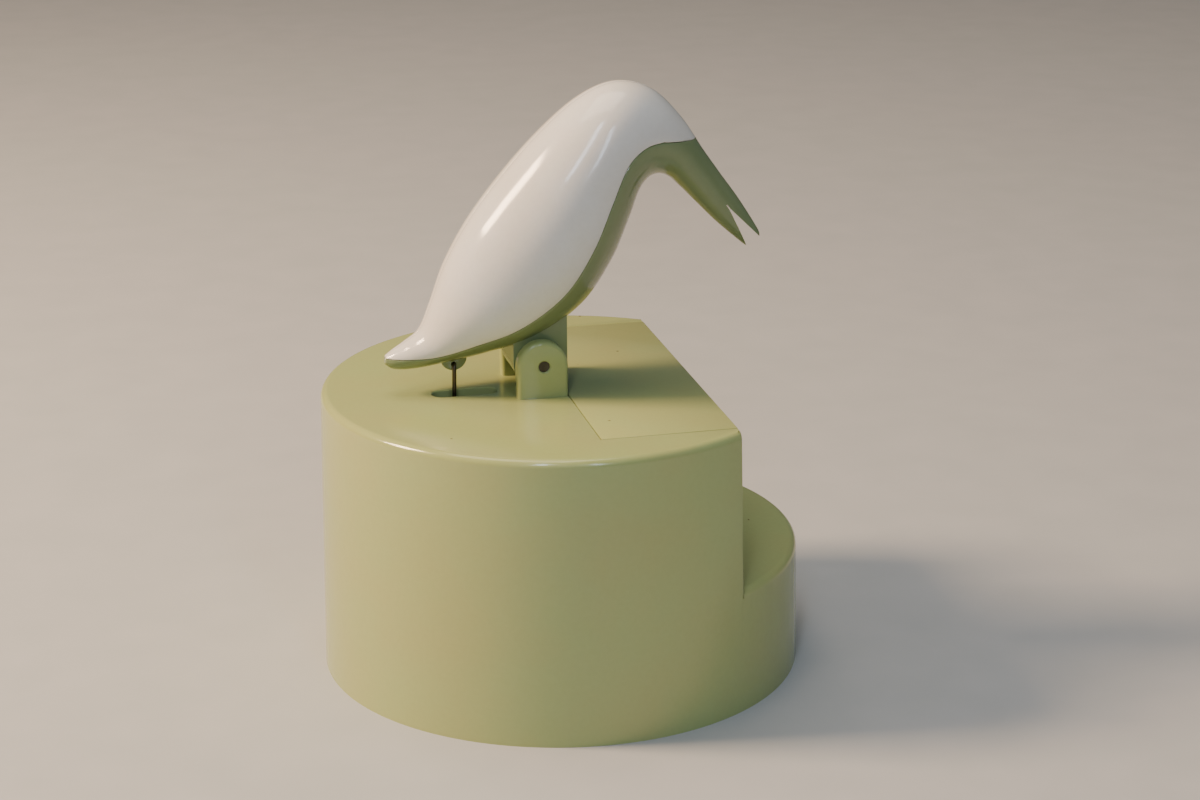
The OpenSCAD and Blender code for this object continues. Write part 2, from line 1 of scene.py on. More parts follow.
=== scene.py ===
"""Toothpick dispenser: a bird-shaped lever on a drum-shaped box.

Pressing the bird's head down lifts a wire rod at its tail. The rod turns a bell crank inside the
drum, and the crank pushes a slide with one toothpick out of the front, where the forked beak takes it.
Sizes in the classes are millimetres, but for the studio's. The meshes are metres in the frame's axes.
"""

import logging
import math
from dataclasses import dataclass, field
from enum import Enum
from typing import Any, Callable, Sequence

import bpy
from mathutils import Matrix, Vector


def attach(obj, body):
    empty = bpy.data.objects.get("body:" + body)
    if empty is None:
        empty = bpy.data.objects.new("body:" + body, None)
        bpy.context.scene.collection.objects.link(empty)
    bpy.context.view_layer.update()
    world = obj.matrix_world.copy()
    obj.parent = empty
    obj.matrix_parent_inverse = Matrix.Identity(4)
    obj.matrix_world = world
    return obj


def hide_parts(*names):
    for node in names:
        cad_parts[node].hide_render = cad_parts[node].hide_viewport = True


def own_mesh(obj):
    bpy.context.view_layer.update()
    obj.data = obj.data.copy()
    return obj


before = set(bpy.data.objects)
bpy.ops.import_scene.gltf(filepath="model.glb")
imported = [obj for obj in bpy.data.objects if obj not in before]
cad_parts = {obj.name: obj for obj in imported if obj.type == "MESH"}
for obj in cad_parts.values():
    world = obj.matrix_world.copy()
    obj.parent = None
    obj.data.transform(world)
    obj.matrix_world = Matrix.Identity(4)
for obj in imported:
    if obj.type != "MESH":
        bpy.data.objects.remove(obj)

MM = 0.001
FACING = 0.9  # least part of a normal along a direction that a face looks in
log = logging.getLogger("dispenser")
Pair = tuple[float, float]
Point = tuple[float, float, float]


# ---- Small tools ----------------------------------------------------------------------------------


class Axis(Enum):
    """A direction that a bar runs along: the turn that lays it there, and a step of 1."""

    X = ((0.0, math.pi / 2, 0.0), (1.0, 0.0, 0.0))
    Y = ((-math.pi / 2, 0.0, 0.0), (0.0, 1.0, 0.0))
    Z = ((0.0, 0.0, 0.0), (0.0, 0.0, 1.0))


class Merge(Enum):
    """What a second solid does to the first."""

    TAKE = "DIFFERENCE"
    JOIN = "UNION"


class Side(Enum):
    """A side of the bird, as the sign of Y."""

    RIGHT = -1
    LEFT = 1


def deselect() -> None:
    """Leaves edit mode and selects nothing."""
    if bpy.context.object and bpy.context.object.mode != "OBJECT":
        bpy.ops.object.mode_set(mode="OBJECT")
    bpy.ops.object.select_all(action="DESELECT")


def activate(obj: bpy.types.Object) -> None:
    """Selects one object alone and makes it the active one.

    Args:
        obj: The object.
    """
    deselect()
    obj.select_set(True)
    bpy.context.view_layer.objects.active = obj


def made(name: str) -> bpy.types.Object:
    """Names the object that the last operator added, and puts its place into its mesh.

    Args:
        name: The new name of the object and its mesh.

    Returns:
        The object, at the origin, unturned and unscaled.
    """
    obj = bpy.context.object
    obj.name = obj.data.name = name
    bpy.ops.object.transform_apply(location=True, rotation=True, scale=True)
    return obj


def modify(obj: bpy.types.Object, kind: str, **settings: Any) -> None:
    """Adds a modifier and applies it.

    Args:
        obj: The mesh object to change.
        kind: The modifier's type, such as BEVEL.
        **settings: Properties to set on the modifier.
    """
    activate(obj)
    modifier = obj.modifiers.new(kind.title(), kind)
    for key, value in settings.items():
        setattr(modifier, key, value)
    bpy.ops.object.modifier_apply(modifier=modifier.name)


def carve(obj: bpy.types.Object, tool: bpy.types.Object, how: Merge = Merge.TAKE) -> bpy.types.Object:
    """Cuts a solid with another or joins them, and removes the other.

    Args:
        obj: The solid that stays.
        tool: The solid that is taken away or added.
        how: Whether to take away or to join.

    Returns:
        The changed solid.
    """
    modify(obj, "BOOLEAN", object=tool, operation=how.value, solver="EXACT")
    bpy.data.objects.remove(tool, do_unlink=True)
    return obj


def rounded(obj: bpy.types.Object, width: float, segments: int, angle: float) -> bpy.types.Object:
    """Rounds every edge that is sharper than an angle.

    Args:
        obj: The solid to round.
        width: How far the rounding reaches from the edge, in mm.
        segments: Faces across the rounding.
        angle: Least angle of a sharp edge, in degrees.

    Returns:
        The same solid.
    """
    modify(
        obj,
        "BEVEL",
        width=width * MM,
        segments=segments,
        limit_method="ANGLE",
        angle_limit=math.radians(angle),
        miter_outer="MITER_ARC",
    )
    return obj


def smoothed(obj: bpy.types.Object, angle: float) -> bpy.types.Object:
    """Shades a solid smooth, but for its sharp edges.

    Args:
        obj: The solid.
        angle: Least angle of a sharp edge, in degrees.

    Returns:
        The same solid.
    """
    activate(obj)
    bpy.ops.object.shade_smooth_by_angle(angle=math.radians(angle))
    return obj


def cleaned(obj: bpy.types.Object, merge: float = 0.0, flat: float = 0.5) -> bpy.types.Object:
    """Merges points that lie together and dissolves the edges inside flat faces.

    Args:
        obj: The solid.
        merge: Distance up to which points merge, in mm, or 0 for none.
        flat: Angle up to which two faces count as one, in degrees.

    Returns:
        The same solid.
    """
    activate(obj)
    bpy.ops.object.mode_set(mode="EDIT")
    bpy.ops.mesh.select_all(action="SELECT")
    if merge:
        bpy.ops.mesh.remove_doubles(threshold=merge * MM)
    bpy.ops.mesh.dissolve_limited(angle_limit=math.radians(flat))
    bpy.ops.object.mode_set(mode="OBJECT")
    return obj


def block(name: str, low: Point, high: Point) -> bpy.types.Object:
    """A box between two corners.

    Args:
        name: Name of the object.
        low: The corner with the least x, y and z, in mm.
        high: The opposite corner, in mm.

    Returns:
        The box.
    """
    deselect()
    middle = [(a + b) / 2 * MM for a, b in zip(low, high)]
    bpy.ops.mesh.primitive_cube_add(size=1, location=middle)
    bpy.context.object.scale = [(b - a) * MM for a, b in zip(low, high)]
    return made(name)


def bar(
    name: str,
    at: Point,
    radius: float,
    length: float,
    axis: Axis,
    top: float | None = None,
    sides: int = 64,
) -> bpy.types.Object:
    """A round bar or cone that starts at a point and runs along an axis.

    Args:
        name: Name of the object.
        at: Middle of the starting end, in mm.
        radius: Radius at the start, in mm.
        length: Length along the axis, in mm.
        axis: The direction that it runs along.
        top: Radius at the far end, in mm, or None for the same.
        sides: Number of sides.

    Returns:
        The solid.
    """
    deselect()
    turn, step = axis.value
    bpy.ops.mesh.primitive_cone_add(
        vertices=sides,
        radius1=radius * MM,
        radius2=(radius if top is None else top) * MM,
        depth=length * MM,
        location=(Vector(at) + Vector(step) * length / 2) * MM,
        rotation=turn,
    )
    return made(name)


def edit_faces(obj: bpy.types.Object, test: Callable[[Vector, Vector], bool]) -> None:
    """Enters edit mode with the faces selected whose centre and normal pass a test.

    Args:
        obj: The mesh object.
        test: Takes a face's centre in mm and its normal.
    """
    activate(obj)
    bpy.ops.object.mode_set(mode="EDIT")
    bpy.ops.mesh.select_mode(type="FACE")
    bpy.ops.mesh.select_all(action="DESELECT")
    bpy.ops.object.mode_set(mode="OBJECT")
    for face in obj.data.polygons:
        face.select = test(face.center / MM, face.normal)
    bpy.ops.object.mode_set(mode="EDIT")


def bevel_rim(obj: bpy.types.Object, z: float, radius: float) -> bpy.types.Object:
    """Rounds the rim round a flat top.

    Args:
        obj: The solid.
        z: Height of the top, in mm.
        radius: Radius of the rounding, in mm.

    Returns:
        The same solid.
    """
    near = 0.01
    edit_faces(obj, lambda centre, normal: abs(centre.z - z) < near and normal.z > FACING)
    bpy.ops.mesh.bevel(offset=radius * MM, segments=10, profile=0.5, affect="EDGES")
    bpy.ops.object.mode_set(mode="OBJECT")
    return obj


def flared(obj: bpy.types.Object, lip: float, above: float = 2.0) -> bpy.types.Object:
    """Widens the top of an upright cutter by a small lip, so that it leaves a softened edge.

    Args:
        obj: The cutter, with one flat top face.
        lip: Height and width of the lip, in mm.
        above: How far the cutter goes on above its lip, in mm.

    Returns:
        The cutter.
    """
    size = obj.dimensions
    edit_faces(obj, lambda centre, normal: normal.z > FACING)
    for height, grow in ((lip, lip), (above, 0.0)):
        bpy.ops.mesh.extrude_region_move(TRANSFORM_OT_translate={"value": (0, 0, height * MM)})
        bpy.ops.transform.resize(value=(1 + 2 * grow * MM / size.x, 1 + 2 * grow * MM / size.y, 1))
    bpy.ops.object.mode_set(mode="OBJECT")
    return obj


def wire(name: str, path: Sequence[Point], radius: float, resolution: int) -> bpy.types.Object:
    """A round wire along a path, closed at both ends.

    Args:
        name: Name of the object.
        path: Points along the wire's middle, in mm.
        radius: The wire's radius, in mm.
        resolution: Fineness of its roundness.

    Returns:
        The wire.
    """
    deselect()
    bpy.ops.curve.primitive_bezier_curve_add()
    curve = bpy.context.object
    curve.data.splines.clear()
    spline = curve.data.splines.new("POLY")
    spline.points.add(len(path) - 1)
    for point, place in zip(spline.points, path):
        point.co = (*(Vector(place) * MM), 1)
    curve.data.dimensions = "3D"
    curve.data.bevel_depth = radius * MM
    curve.data.bevel_resolution = resolution
    curve.data.use_fill_caps = True
    bpy.ops.object.convert(target="MESH")
    obj = made(name)
    bpy.ops.object.mode_set(mode="EDIT")
    bpy.ops.mesh.select_all(action="SELECT")
    bpy.ops.mesh.remove_doubles(threshold=0.01 * MM)
    bpy.ops.mesh.normals_make_consistent(inside=False)
    bpy.ops.object.mode_set(mode="OBJECT")
    return smoothed(obj, 50)


def settle(
    obj: bpy.types.Object,
    body: str,
    slot: str,
    look: bpy.types.Material,
    *nodes: str,
) -> bpy.types.Object:
    """Gives a finished piece its material, its body and the plain solids that it stands for.

    Args:
        obj: The finished piece.
        body: The body that it rides on.
        slot: The material slot that it has in the part; not used.
        look: Its material.
        *nodes: The solids that it replaces.

    Returns:
        The same piece.
    """
    obj.data.materials.clear()
    obj.data.materials.append(look)
    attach(obj, body)
    if nodes:
        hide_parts(*nodes)
    log.info("%s rides on %s, %d faces", obj.name, body, len(obj.data.polygons))
    return obj


# ---- Finishes -------------------------------------------------------------------------------------


class Lens(Enum):
    """Typical indices of refraction."""

    ABS = 1.54
    ACETAL = 1.48
    RUBBER = 1.52


def linear(code: str) -> tuple[float, float, float, float]:
    """Turns an sRGB hex colour such as #a0b0c0 into linear values with alpha 1."""
    parts = [int(code[i : i + 2], 16) / 255 for i in (1, 3, 5)]
    return (*[c / 12.92 if c <= 0.04045 else ((c + 0.055) / 1.055) ** 2.4 for c in parts], 1.0)


def add(
    tree: bpy.types.NodeTree,
    kind: str,
    inputs: dict[str | int, Any] | None = None,
    **settings: Any,
) -> bpy.types.Node:
    """Adds one shader node.

    Args:
        tree: The material's node tree.
        kind: The node's type name.
        inputs: What goes into it, by name or index: values, sockets, or nodes for their first output.
        **settings: Properties of the node.

    Returns:
        The node.
    """
    new = tree.nodes.new(kind)
    for key, value in settings.items():
        setattr(new, key, value)
    for key, value in (inputs or {}).items():
        source = value.outputs[0] if isinstance(value, bpy.types.Node) else value
        if isinstance(source, bpy.types.NodeSocket):
            tree.links.new(source, new.inputs[key])
        else:
            new.inputs[key].default_value = source
    return new


def blank(name: str) -> tuple[bpy.types.Material, bpy.types.NodeTree, bpy.types.NodeSocket]:
    """Starts a material that holds only its object coordinates.

    Args:
        name: The material's name.

    Returns:
        The material, its node tree, and the socket of the coordinates.
    """
    look = bpy.data.materials.new(name)
    look.use_nodes = True
    tree = look.node_tree
    tree.nodes.clear()
    return look, tree, add(tree, "ShaderNodeTexCoord").outputs["Object"]


def marks(place: Any, size_mm: float, detail: float, roughness: float = 0.5) -> dict[str | int, Any]:
    """The inputs of a noise whose marks are a real size in mm."""
    return {"Vector": place, "Scale": 1 / (size_mm * MM), "Detail": detail, "Roughness": roughness}


def span(value: Any, given: Pair, wanted: Pair) -> dict[str | int, Any]:
    """The inputs that map a value from a given range to a wanted one, held at both ends."""
    ends = ("From Min", "From Max", "To Min", "To Max")
    return {"Value": value, **dict(zip(ends, (*given, *wanted)))}


@dataclass(frozen=True)
class MouldedPlastic:
    """Injection-moulded plastic that has aged: an even colour with faint clouding, and a fine surface ripple.

    The eye sees soft long reflections that waver slightly, a slightly yellowed cast in patches, and
    on upward faces a few brown specks.
    """

    name: str
    colour: str
    aged: str
    rough: float
    ior: float = Lens.ABS.value
    cloud_mm: float = 26.0
    aging: float = 0.55
    grain_mm: float = 1.1
    smear_mm: float = 9.0
    ripple_mm: float = 5.0
    ripple_depth: float = 0.006
    speck_mm: float = 0.0
    speck_gap_mm: float = 9.0
    speck: str = "#5b4026"

    def material(self) -> bpy.types.Material:
        """Builds the procedural material.

        Returns:
            The material, ready for a piece.
        """
        look, tree, place = blank(self.name)
        cloud = add(tree, "ShaderNodeTexNoise", marks(place, self.cloud_mm, 4.0, 0.55))
        fine = add(tree, "ShaderNodeTexNoise", marks(place, self.grain_mm, 2.0))
        smear = add(tree, "ShaderNodeTexNoise", marks(place, self.smear_mm, 5.0, 0.6))
        ripple = add(tree, "ShaderNodeTexNoise", marks(place, self.ripple_mm, 1.0, 0.4))
        share = add(tree, "ShaderNodeMapRange", span(cloud, (0.35, 0.72), (0.0, self.aging)))
        tones = {0: share, 6: linear(self.colour), 7: linear(self.aged)}
        colour = add(tree, "ShaderNodeMix", tones, data_type="RGBA").outputs[2]
        grain = add(tree, "ShaderNodeMapRange", span(fine, (0.3, 0.7), (0.985, 1.015)))
        colour = add(tree, "ShaderNodeHueSaturation", {"Color": colour, "Value": grain}).outputs[0]
        if self.speck_mm > 0:
            colour = self._specks(tree, place, colour)
        dull = (self.rough * 0.88, self.rough * 1.15)
        rough = add(tree, "ShaderNodeMapRange", span(smear, (0.3, 0.75), dull))
        wave = {"Height": ripple, "Strength": 1.0, "Distance": self.ripple_depth * MM}
        bump = add(tree, "ShaderNodeBump", wave)
        skin = {"Base Color": colour, "Roughness": rough, "IOR": self.ior, "Normal": bump}
        shader = add(tree, "ShaderNodeBsdfPrincipled", skin)
        add(tree, "ShaderNodeOutputMaterial", {"Surface": shader})
        return look

    def _specks(
        self,
        tree: bpy.types.NodeTree,
        place: bpy.types.NodeSocket,
        under: bpy.types.NodeSocket,
    ) -> bpy.types.NodeSocket:
        """Scatters small brown specks of dirt over the faces that look up.

        Args:
            tree: The material's node tree.
            place: The object coordinates.
            under: The plastic's own colour.

        Returns:
            The colour with its specks.
        """
        gap = self.speck_gap_mm * MM
        edge = self.speck_mm * MM / gap
        warp = add(tree, "ShaderNodeTexNoise", marks(place, 0.5, 1.0))
        cells = add(tree, "ShaderNodeTexVoronoi", {"Vector": place, "Scale": 1 / gap, "Randomness": 1.0})
        wobble = add(tree, "ShaderNodeMapRange", span(warp, (0.3, 0.7), (-0.35 * edge, 0.35 * edge)))
        reach = add(tree, "ShaderNodeMath", {0: cells, 1: wobble}, operation="ADD")
        spot = add(tree, "ShaderNodeMapRange", span(reach, (edge * 0.55, edge), (0.85, 0.0)))
        normal = add(tree, "ShaderNodeNewGeometry").outputs["Normal"]
        rise = add(tree, "ShaderNodeSeparateXYZ", {0: normal}).outputs[2]
        upward = add(tree, "ShaderNodeMapRange", span(rise, (0.8, 0.95), (0.0, 1.0)))
        share = add(tree, "ShaderNodeMath", {0: spot, 1: upward}, operation="MULTIPLY")
        tones = {0: share, 6: under, 7: linear(self.speck)}
        return add(tree, "ShaderNodeMix", tones, data_type="RGBA").outputs[2]


@dataclass(frozen=True)
class WorkedMetal:
    """Plain steel, drawn, rolled or blackened: fine parallel marks stretch the reflections across them."""

    name: str
    colour: str
    worn: str
    rough: float
    run: Point = (1.0, 1.0, 1.0)
    mark_mm: float = 0.25  # coarser than the real marks, which wouldn't show
    mark_depth: float = 0.008
    wear_mm: float = 4.0
    wear: float = 0.5

    def material(self) -> bpy.types.Material:
        """Builds the procedural material.

        Returns:
            The material, ready for a piece.
        """
        look, tree, place = blank(self.name)
        drawn = add(tree, "ShaderNodeMapping", {"Vector": place, "Scale": self.run})
        lines = add(tree, "ShaderNodeTexNoise", marks(drawn, self.mark_mm, 3.0))
        wear = add(tree, "ShaderNodeTexNoise", marks(place, self.wear_mm, 4.0))
        share = add(tree, "ShaderNodeMapRange", span(wear, (0.4, 0.7), (0.0, self.wear)))
        tones = {0: share, 6: linear(self.colour), 7: linear(self.worn)}
        colour = add(tree, "ShaderNodeMix", tones, data_type="RGBA").outputs[2]
        dull = (self.rough * 0.75, self.rough * 1.3)
        rough = add(tree, "ShaderNodeMapRange", span(lines, (0.3, 0.7), dull))
        groove = {"Height": lines, "Strength": 0.6, "Distance": self.mark_depth * MM}
        bump = add(tree, "ShaderNodeBump", groove)
        skin = {"Base Color": colour, "Roughness": rough, "Metallic": 1.0, "Normal": bump}
        shader = add(tree, "ShaderNodeBsdfPrincipled", skin)
        add(tree, "ShaderNodeOutputMaterial", {"Surface": shader})
        return look


@dataclass(frozen=True)
class MouldedRubber:
    """Soft black rubber with a fine matt grain that greys where it is handled."""

    name: str
    colour: str
    dusty: str
    rough: float = 0.75
    grain_mm: float = 0.4  # coarser than the real grain, which wouldn't show
    grain_depth: float = 0.03
    dust_mm: float = 2.0

    def material(self) -> bpy.types.Material:
        """Builds the procedural material.

        Returns:
            The material, ready for a piece.
        """
        look, tree, place = blank(self.name)
        grain = add(tree, "ShaderNodeTexNoise", marks(place, self.grain_mm, 3.0))
        dust = add(tree, "ShaderNodeTexNoise", marks(place, self.dust_mm, 3.0))
        share = add(tree, "ShaderNodeMapRange", span(dust, (0.45, 0.75), (0.0, 0.5)))
        tones = {0: share, 6: linear(self.colour), 7: linear(self.dusty)}
        colour = add(tree, "ShaderNodeMix", tones, data_type="RGBA").outputs[2]
        pores = {"Height": grain, "Strength": 0.7, "Distance": self.grain_depth * MM}
        bump = add(tree, "ShaderNodeBump", pores)
        skin = {"Base Color": colour, "Roughness": self.rough, "IOR": Lens.RUBBER.value, "Normal": bump}
        shader = add(tree, "ShaderNodeBsdfPrincipled", skin)
        add(tree, "ShaderNodeOutputMaterial", {"Surface": shader})
        return look


@dataclass
class Finishes:
    """One material for each finish of the dispenser."""

    # ABS from a polished mould, aged: semi-gloss, a little yellowed, with specks of dirt on top.
    shell: bpy.types.Material = field(
        default_factory=MouldedPlastic(
            "abs_moulded_sage_shell", "#a6b274", "#aeab6f", 0.15, speck_mm=0.34
        ).material
    )
    # The same plastic, a touch paler.
    lid: bpy.types.Material = field(
        default_factory=MouldedPlastic(
            "abs_moulded_sage_lid", "#a8b275", "#b0ab6e", 0.15, speck_mm=0.34, speck_gap_mm=8.0
        ).material
    )
    # Polished ABS, greener and glossier than the shell.
    belly: bpy.types.Material = field(
        default_factory=MouldedPlastic("abs_polished_sage_belly", "#7c8b62", "#81895d", 0.12).material
    )
    # ABS that lies in the dark of the drum: duller and less aged.
    slide: bpy.types.Material = field(
        default_factory=MouldedPlastic(
            "abs_moulded_sage_slide", "#a3ad72", "#a6a46b", 0.22, aging=0.4
        ).material
    )
    # ABS with an eroded mould's fine satin, on the underside.
    under: bpy.types.Material = field(
        default_factory=MouldedPlastic(
            "abs_moulded_sage_under", "#8f9468", "#8a8460", 0.4, ripple_mm=1.2, ripple_depth=0.015
        ).material
    )
    # Polished white ABS: clear, long reflections over a faint warm clouding.
    white: bpy.types.Material = field(
        default_factory=MouldedPlastic(
            "abs_polished_white_crown", "#e6e3de", "#e0d8c9", 0.13, cloud_mm=18.0, aging=0.6, ripple_mm=7.0
        ).material
    )
    # Acetal: waxy, with broad soft highlights.
    ivory: bpy.types.Material = field(
        default_factory=MouldedPlastic(
            "acetal_moulded_ivory", "#d6cfb8", "#c6b993", 0.4, ior=Lens.ACETAL.value, ripple_mm=1.5
        ).material
    )
    # Rolled steel sheet: satin, with marks that run level along its faces.
    plate: bpy.types.Material = field(
        default_factory=WorkedMetal(
            "steel_rolled_plate", "#a2a4a6", "#86847f", 0.36, run=(0.1, 0.1, 1.0)
        ).material
    )
    # Zinc-plated steel: pale and slightly blotched.
    screw: bpy.types.Material = field(
        default_factory=WorkedMetal(
            "steel_zinc_plated_screw", "#a9abad", "#8f8d84", 0.3, wear_mm=1.2
        ).material
    )
    # Drawn spring wire: satin, with the finest marks.
    spring: bpy.types.Material = field(
        default_factory=WorkedMetal(
            "steel_drawn_spring_wire", "#9b9ea1", "#77756f", 0.27, mark_mm=0.15
        ).material
    )
    # Steel blackened in oil: dark, with marks along the pins.
    pin: bpy.types.Material = field(
        default_factory=WorkedMetal(
            "steel_blackened_pin", "#4c4845", "#6c655c", 0.38, run=(1.0, 0.1, 1.0), wear_mm=1.5
        ).material
    )
    # Dark drawn wire: brownish, with marks along its length.
    rod: bpy.types.Material = field(
        default_factory=WorkedMetal(
            "steel_drawn_dark_rod", "#5a544b", "#7d6a4f", 0.33, run=(1.0, 1.0, 0.06), wear_mm=2.5
        ).material
    )
    # Moulded rubber: matt and almost black.
    rubber: bpy.types.Material = field(
        default_factory=MouldedRubber("rubber_moulded_black", "#1d1d1e", "#3b3936").material
    )


# ---- The drum -------------------------------------------------------------------------------------


@dataclass
class DrumBox:
    """The drum-shaped box: shell, ears, deck slot, front slit, low front step and the sliding lid."""

    foot_r: float = 50.95
    top_r: float = 50.0
    height: float = 60.5
    step: float = 26.5
    front_x: float = 28.2  # the upright front face, at the deck
    lean: float = math.radians(1.0)  # of the front face, forwards at its foot
    front_soft: float = 0.3
    wall: float = 2.2
    deck: float = 2.4
    rim: float = 1.6
    far: Point = (120.0, 80.0, 90.0)  # a corner past the whole dispenser
    pivot: Pair = (-5.2, 67.2)
    hole_r: float = 1.2
    ear_w: float = 10.7
    ear_back: float = 0.25  # how far an ear's middle lies behind the pivot
    ear_out: float = 10.1
    ear_t: float = 3.5
    ear_root: float = 1.4  # how deep an ear starts in the deck
    ear_soft: float = 0.85
    lid_half: float = 38.1
    lid_back: float = 0.15
    lid_soft: float = 0.16
    play: float = 0.2  # beside the lid
    groove: Point = (0.9, 0.7, 1.8)  # depth into the side, then from and to above the deck's underside
    tongue: Point = (0.7, 0.9, 1.6)  # the same of the lid's tongues
    slot: tuple[float, float, float, float] = (-27.4, -13.7, -2.0, 4.6)  # from x, to x, y, width
    slot_lip: float = 0.2
    slit: Point = (34.2, 33.8, 38.6)  # half its length, then from and to in height
    ledge: Pair = (36.6, 40.3)  # from and to in y
    ledge_t: float = 2.1
    hopper_bosses: tuple[Pair, ...] = ((7, 41.5), (18, 40))  # x and y
    hopper_boss: Pair = (3, 50.1)  # radius and lower end
    plate_boss: Point = (4, 3.5, 14.5)  # radius, lower end and length
    plate_boss_ring: float = 45
    pad: Point = (3.8, 25.2, 32.8)  # half the width, then from and to in height
    pad_x: Pair = (-0.5, 1.4)  # from and to, past the inside of the front wall
    peg: Pair = (1.8, 4.2)  # radius and length of the spring's peg
    peg_at: Pair = (-4.5, 29)  # its start past the inside of the front wall, and its height
    hole_lip: Point = (1.55, 1.15, 0.35)  # outer and inner radius, and depth
    sides: int = 256

    @property
    def under(self) -> float:
        """Height of the deck's underside."""
        return self.height - self.deck

    @property
    def inner(self) -> float:
        """Where the inside of the front wall lies, at the deck."""
        return self.front_x - self.wall

    def radius(self, z: float) -> float:
        """Outer radius at height z."""
        return self.foot_r + (self.top_r - self.foot_r) * z / self.height

    def _drum(self, name: str, height: float, inset: float, rim: float, low: float = 0.0) -> bpy.types.Object:
        """A drafted drum.

        Args:
            name: Name of the object.
            height: Height of its top.
            inset: How far it is set in from the outside.
            rim: Radius of the rounding at its top, or 0 for none.
            low: Height of its lower end.

        Returns:
            The solid.
        """
        foot, top = self.radius(low) - inset, self.radius(height) - inset
        solid = bar(name, (0, 0, low), foot, height - low, Axis.Z, top, self.sides)
        return bevel_rim(solid, height, rim) if rim else solid

    def _lean_forward(self, solid: bpy.types.Object, picks: Callable[[float], bool]) -> None:
        """Leans an upright face with the drum's front.

        Args:
            solid: The solid, changed in place.
            picks: Takes a vertex's x in mm, and says whether it belongs to the face.
        """
        for vertex in solid.data.vertices:
            if picks(vertex.co.x / MM):
                vertex.co.x += (self.height * MM - vertex.co.z) * math.tan(self.lean)

    def _front(self, inset: float, low: float) -> bpy.types.Object:
        """Everything in front of the leaning front face above a height.

        Args:
            inset: How far behind the front face it starts.
            low: Its lower end.

        Returns:
            The cutter.
        """
        solid = block("front", (self.front_x - inset, -self.far[1], low), self.far)
        self._lean_forward(solid, lambda x: x < self.foot_r)
        return solid

    def _outer(self) -> bpy.types.Object:
        """The drum's outside: full height behind the front face, and the low step before it.

        Returns:
            The solid.
        """
        cut = carve(self._front(0, self.step - self.rim), self._drum("step", self.step, 0, self.rim))
        solid = carve(self._drum("base_shell_form", self.height, 0, self.rim), cut)
        edit_faces(
            solid,
            lambda centre, normal: normal.x > 0.99 and centre.z > self.step and centre.x < self.front_x + 1,
        )
        bpy.ops.mesh.region_to_loop()
        bpy.ops.mesh.bevel(offset=self.front_soft * MM, segments=3, profile=0.5, affect="EDGES")
        bpy.ops.object.mode_set(mode="OBJECT")
        return solid

    def _ear(self, side: Side) -> bpy.types.Object:
        """One ear: an arch on a straight foot, with its edges rounded over.

        Args:
            side: The side that it stands on.

        Returns:
            The ear.
        """
        x, z = self.pivot[0] - self.ear_back, self.pivot[1]
        r = self.ear_w / 2
        y = self.ear_out - self.ear_t if side is Side.LEFT else -self.ear_out
        ear = block("ear", (x - r, y, self.height - self.ear_root), (x + r, y + self.ear_t, z))
        carve(ear, bar("arch", (x, y, z), r, self.ear_t, Axis.Y, sides=96), Merge.JOIN)
        return rounded(cleaned(ear, 0.01), self.ear_soft, 5, 60)

    def _slot_cutter(self) -> bpy.types.Object:
        """The rounded slot in the deck that the rod comes out of.

        Returns:
            The cutter.
        """
        x0, x1, y, w = self.slot
        low = self.under - 1
        tall = self.deck + 1 - self.slot_lip
        cutter = block("slot", (x0 + w / 2, y - w / 2, low), (x1 - w / 2, y + w / 2, low + tall))
        for x in (x0 + w / 2, x1 - w / 2):
            carve(cutter, bar("end", (x, y, low), w / 2, tall, Axis.Z, sides=48), Merge.JOIN)
        return flared(cutter, self.slot_lip)

    def _inside(self, shell: bpy.types.Object) -> None:
        """Adds the ledges, bosses, pad and spring peg inside the shell.

        Args:
            shell: The hollow shell, changed in place.
        """
        bite = 0.3  # how far each piece reaches into the wall or deck that carries it
        boss_r, boss_low = self.hopper_boss
        for side in Side:
            y = sorted(side.value * edge for edge in self.ledge)
            ledge = block(
                "ledge",
                (0, y[0], self.under - self.ledge_t),
                (self.inner + bite, y[1], self.under + bite),
            )
            carve(shell, ledge, Merge.JOIN)
            for x, across in self.hopper_bosses:
                tall = self.under + bite - boss_low
                boss = bar("boss", (x, side.value * across, boss_low), boss_r, tall, Axis.Z, sides=32)
                carve(shell, boss, Merge.JOIN)
        boss_r, boss_low, tall = self.plate_boss
        for k in range(4):
            turn = math.radians(45 + 90 * k)
            at = (self.plate_boss_ring * math.cos(turn), self.plate_boss_ring * math.sin(turn), boss_low)
            carve(shell, bar("boss", at, boss_r, tall, Axis.Z, sides=32), Merge.JOIN)
        half, low, high = self.pad
        start, end = self.pad_x
        pad = block("pad", (self.inner + start, -half, low), (self.inner + end, half, high))
        carve(shell, pad, Merge.JOIN)
        start, z = self.peg_at
        carve(shell, bar("peg", (self.inner + start, 0, z), *self.peg, Axis.X, sides=32), Merge.JOIN)

    def _open_for_lid(self, shell: bpy.types.Object) -> None:
        """Cuts the opening under the lid and the grooves that it slides in.

        Args:
            shell: The shell, changed in place.
        """
        lip = 0.15
        past = 70
        half = self.lid_half + self.play
        opening = block("opening", (0, -half, self.under - 0.5), (past, half, self.height - lip))
        carve(shell, flared(opening, lip))
        deep, low, high = self.groove
        ends = (0, -half - deep, self.under + low), (past, half + deep, self.under + high)
        carve(shell, block("grooves", *ends))

    def _drill(self, shell: bpy.types.Object) -> None:
        """Drills the ears for the pivot pin, with a softened lip on each outer face.

        Args:
            shell: The shell, changed in place.
        """
        x, z = self.pivot
        half = 12
        carve(shell, bar("hole", (x, -half, z), self.hole_r, 2 * half, Axis.Y, sides=48))
        wide, narrow, deep = self.hole_lip
        for side in Side:
            at = (x, side.value * (self.ear_out + 0.1), z)
            carve(shell, bar("lip", at, wide, -side.value * deep, Axis.Y, narrow, sides=48))

